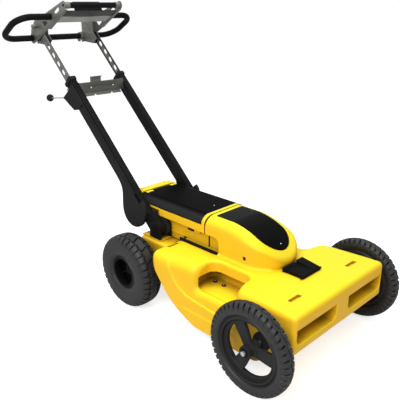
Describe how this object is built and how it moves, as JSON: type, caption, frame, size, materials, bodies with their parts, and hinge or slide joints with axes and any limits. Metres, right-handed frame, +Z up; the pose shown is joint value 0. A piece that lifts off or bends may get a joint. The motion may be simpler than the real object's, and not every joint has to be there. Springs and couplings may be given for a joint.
{
  "type": "ground penetrating radar cart",
  "caption": "Push cart for ground penetrating radar: low moulded body with antenna below, console on the deck, air-tyred wheels and a folding, telescopic handle with a tablet tray.",
  "frame": {"origin": "on the ground, under the middle of the cart's bounding box", "axes": "+X towards the operator's left, +Y backwards from the nose to the push handle, +Z up"},
  "size_m": [0.736, 1.678, 1.1724],
  "materials": {
    "yellow_shell": "moulded satin",
    "black_plastic": "fine texture",
    "gloss_window": "gloss",
    "wheel_plastic": "satin",
    "tyre_rubber": "matte",
    "bright_steel": "zinc plated",
    "black_coated_metal": "powder coated black",
    "grey_metal": "anodised grey"
  },
  "bodies": {
    "chassis": {"chassis_shell": "yellow_shell", "antenna_box": "black_plastic", "skid_plate": "black_plastic", "axle_bosses": "black_plastic", "pocket_sockets": "black_plastic", "console_housing": "yellow_shell", "bonnet": "yellow_shell", "bonnet_window": "gloss_window", "bonnet_screws": "black_coated_metal", "rear_trim": "yellow_shell", "battery_pack": "black_plastic", "control_unit": "grey_metal", "cover_pins": "black_coated_metal", "front_axle": "bright_steel", "front_bearings": "bright_steel", "front_hub_bolts": "bright_steel", "rear_axle": "black_coated_metal", "rear_bearings": "bright_steel", "encoder_sensor": "black_plastic", "hinge_brackets": "black_coated_metal", "hinge_pins": "bright_steel"},
    "lid": {"battery_lid": "black_plastic"},
    "catch": {"lid_catch": "black_plastic"},
    "deck_latch": {"deck_latch": "black_plastic"},
    "front_right_wheel": {"front_right_rim": "wheel_plastic", "front_right_tyre": "tyre_rubber"},
    "front_left_wheel": {"front_left_rim": "wheel_plastic", "front_left_tyre": "tyre_rubber"},
    "rear_right_wheel": {"rear_right_rim": "wheel_plastic", "rear_right_tyre": "tyre_rubber"},
    "rear_left_wheel": {"rear_left_rim": "wheel_plastic", "rear_left_tyre": "tyre_rubber", "encoder_disc": "bright_steel"},
    "arms": {"arm_right": "black_coated_metal", "arm_left": "black_coated_metal", "arm_cover_right": "black_plastic", "arm_cover_left": "black_plastic", "toothed_discs": "black_plastic", "arm_collars": "black_plastic", "crossbar": "grey_metal", "cable_hook": "grey_metal", "crossbar_screws": "bright_steel", "lever_housing": "black_plastic", "release_cables": "black_plastic"},
    "lever": {"release_lever": "bright_steel", "lever_knob": "black_plastic"},
    "pawls": {"lock_pawls": "bright_steel"},
    "arm_plunger": {"telescope_plunger": "bright_steel"},
    "telescope": {"strip_right": "grey_metal", "strip_left": "grey_metal", "quadrant_plates": "grey_metal", "bar_saddles": "grey_metal"},
    "handle": {"handlebar": "black_coated_metal", "side_plate_right": "grey_metal", "side_plate_left": "grey_metal", "top_bar": "black_coated_metal", "top_bar_caps": "grey_metal", "tray_slats": "grey_metal", "tablet_jaw": "black_plastic"},
    "tilt_lock": {"tilt_plunger": "grey_metal"}
  },
  "joints": [
    {"name": "front_right_spin", "type": "hinge", "parent": "chassis", "child": "front_right_wheel", "pos_m": [-0.33, -0.681, 0.158], "axis": [1, 0, 0], "continuous": true},
    {"name": "front_left_spin", "type": "hinge", "parent": "chassis", "child": "front_left_wheel", "pos_m": [0.33, -0.681, 0.158], "axis": [1, 0, 0], "continuous": true},
    {"name": "rear_right_spin", "type": "hinge", "parent": "chassis", "child": "rear_right_wheel", "pos_m": [-0.252, 0.014, 0.15], "axis": [1, 0, 0], "continuous": true},
    {"name": "rear_left_spin", "type": "hinge", "parent": "chassis", "child": "rear_left_wheel", "pos_m": [0.252, 0.014, 0.15], "axis": [1, 0, 0], "continuous": true},
    {"name": "arm_fold", "type": "hinge", "parent": "chassis", "child": "arms", "pos_m": [0, -0.026, 0.31], "axis": [1, 0, 0], "range_deg": [0, 115]},
    {"name": "pawl_slide", "type": "slide", "parent": "chassis", "child": "pawls", "axis": [0, 1, 0], "range_m": [0, 0.006]},
    {"name": "lid_hinge", "type": "hinge", "parent": "chassis", "child": "lid", "pos_m": [0, 0.104, 0.40165], "axis": [-1, 0, 0], "range_deg": [0, 75]},
    {"name": "catch_slide", "type": "slide", "parent": "chassis", "child": "catch", "axis": [0, 1, 0], "range_m": [0, 0.012]},
    {"name": "deck_latch_hinge", "type": "hinge", "parent": "chassis", "child": "deck_latch", "pos_m": [0, -0.669, 0.29465], "axis": [1, 0, 0], "range_deg": [0, 70]},
    {"name": "lever_turn", "type": "hinge", "parent": "arms", "child": "lever", "pos_m": [-0.132, 0.55328, 0.76553], "axis": [1, 0, 0], "range_deg": [0, 20], "stiffness_Nm_per_rad": 1.5, "springref_deg": -14.32},
    {"name": "arm_plunger_slide", "type": "slide", "parent": "arms", "child": "arm_plunger", "axis": [0, 0.6959, -0.7181], "range_m": [0, 0.008], "stiffness_N_per_m": 500, "springref_m": -0.004},
    {"name": "telescope_slide", "type": "slide", "parent": "arms", "child": "telescope", "axis": [0, 0.7181, 0.6959], "range_m": [-0.185, 0.05]},
    {"name": "handle_tilt", "type": "hinge", "parent": "telescope", "child": "handle", "pos_m": [0, 0.815, 1.011], "axis": [1, 0, 0], "range_deg": [-17.6, 26.4]},
    {"name": "tilt_lock_slide", "type": "slide", "parent": "handle", "child": "tilt_lock", "axis": [-1, 0, 0], "range_m": [0, 0.01], "stiffness_N_per_m": 500, "springref_m": -0.004}
  ],
  "couplings": [
    {"joint": "pawl_slide", "follows": "lever_turn", "m_per_rad": 0.017188}
  ]
}
